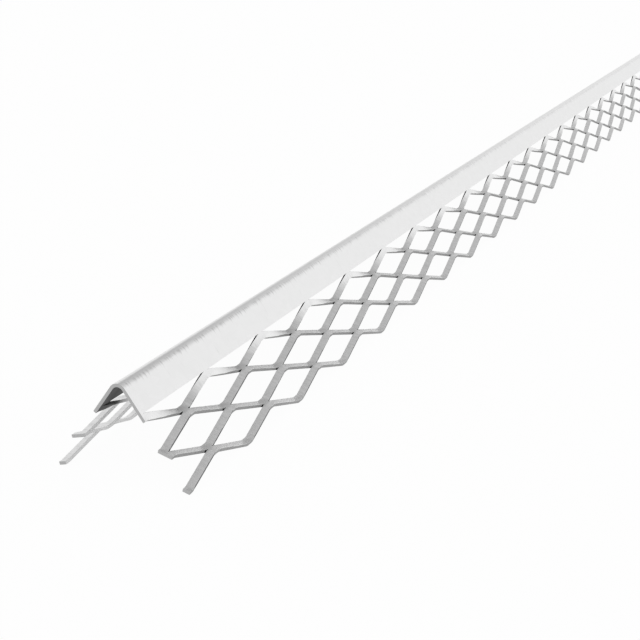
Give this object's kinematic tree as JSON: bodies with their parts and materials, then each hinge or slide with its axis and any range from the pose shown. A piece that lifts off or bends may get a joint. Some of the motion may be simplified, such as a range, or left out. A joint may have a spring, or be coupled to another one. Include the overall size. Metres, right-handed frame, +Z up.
{
  "type": "expanded metal corner bead",
  "caption": "Long V-shaped corner bead of galvanised steel with a rounded nose, plain flanks and expanded diamond-mesh wings that key into plaster on an outside wall corner.",
  "frame": {"origin": "on the floor under the middle of the bead, which stands on the free edges of its wings", "axes": "+Y along the bead, +X across it, +Z up through the nose"},
  "size_m": [0.0478, 2.4, 0.0319],
  "materials": {
    "galvanised_steel": "hot-dip galvanised, satin"
  },
  "bodies": {
    "root": {"nose_strip": "galvanised_steel", "right_wing": "galvanised_steel", "left_wing": "galvanised_steel"}
  },
  "joints": []
}
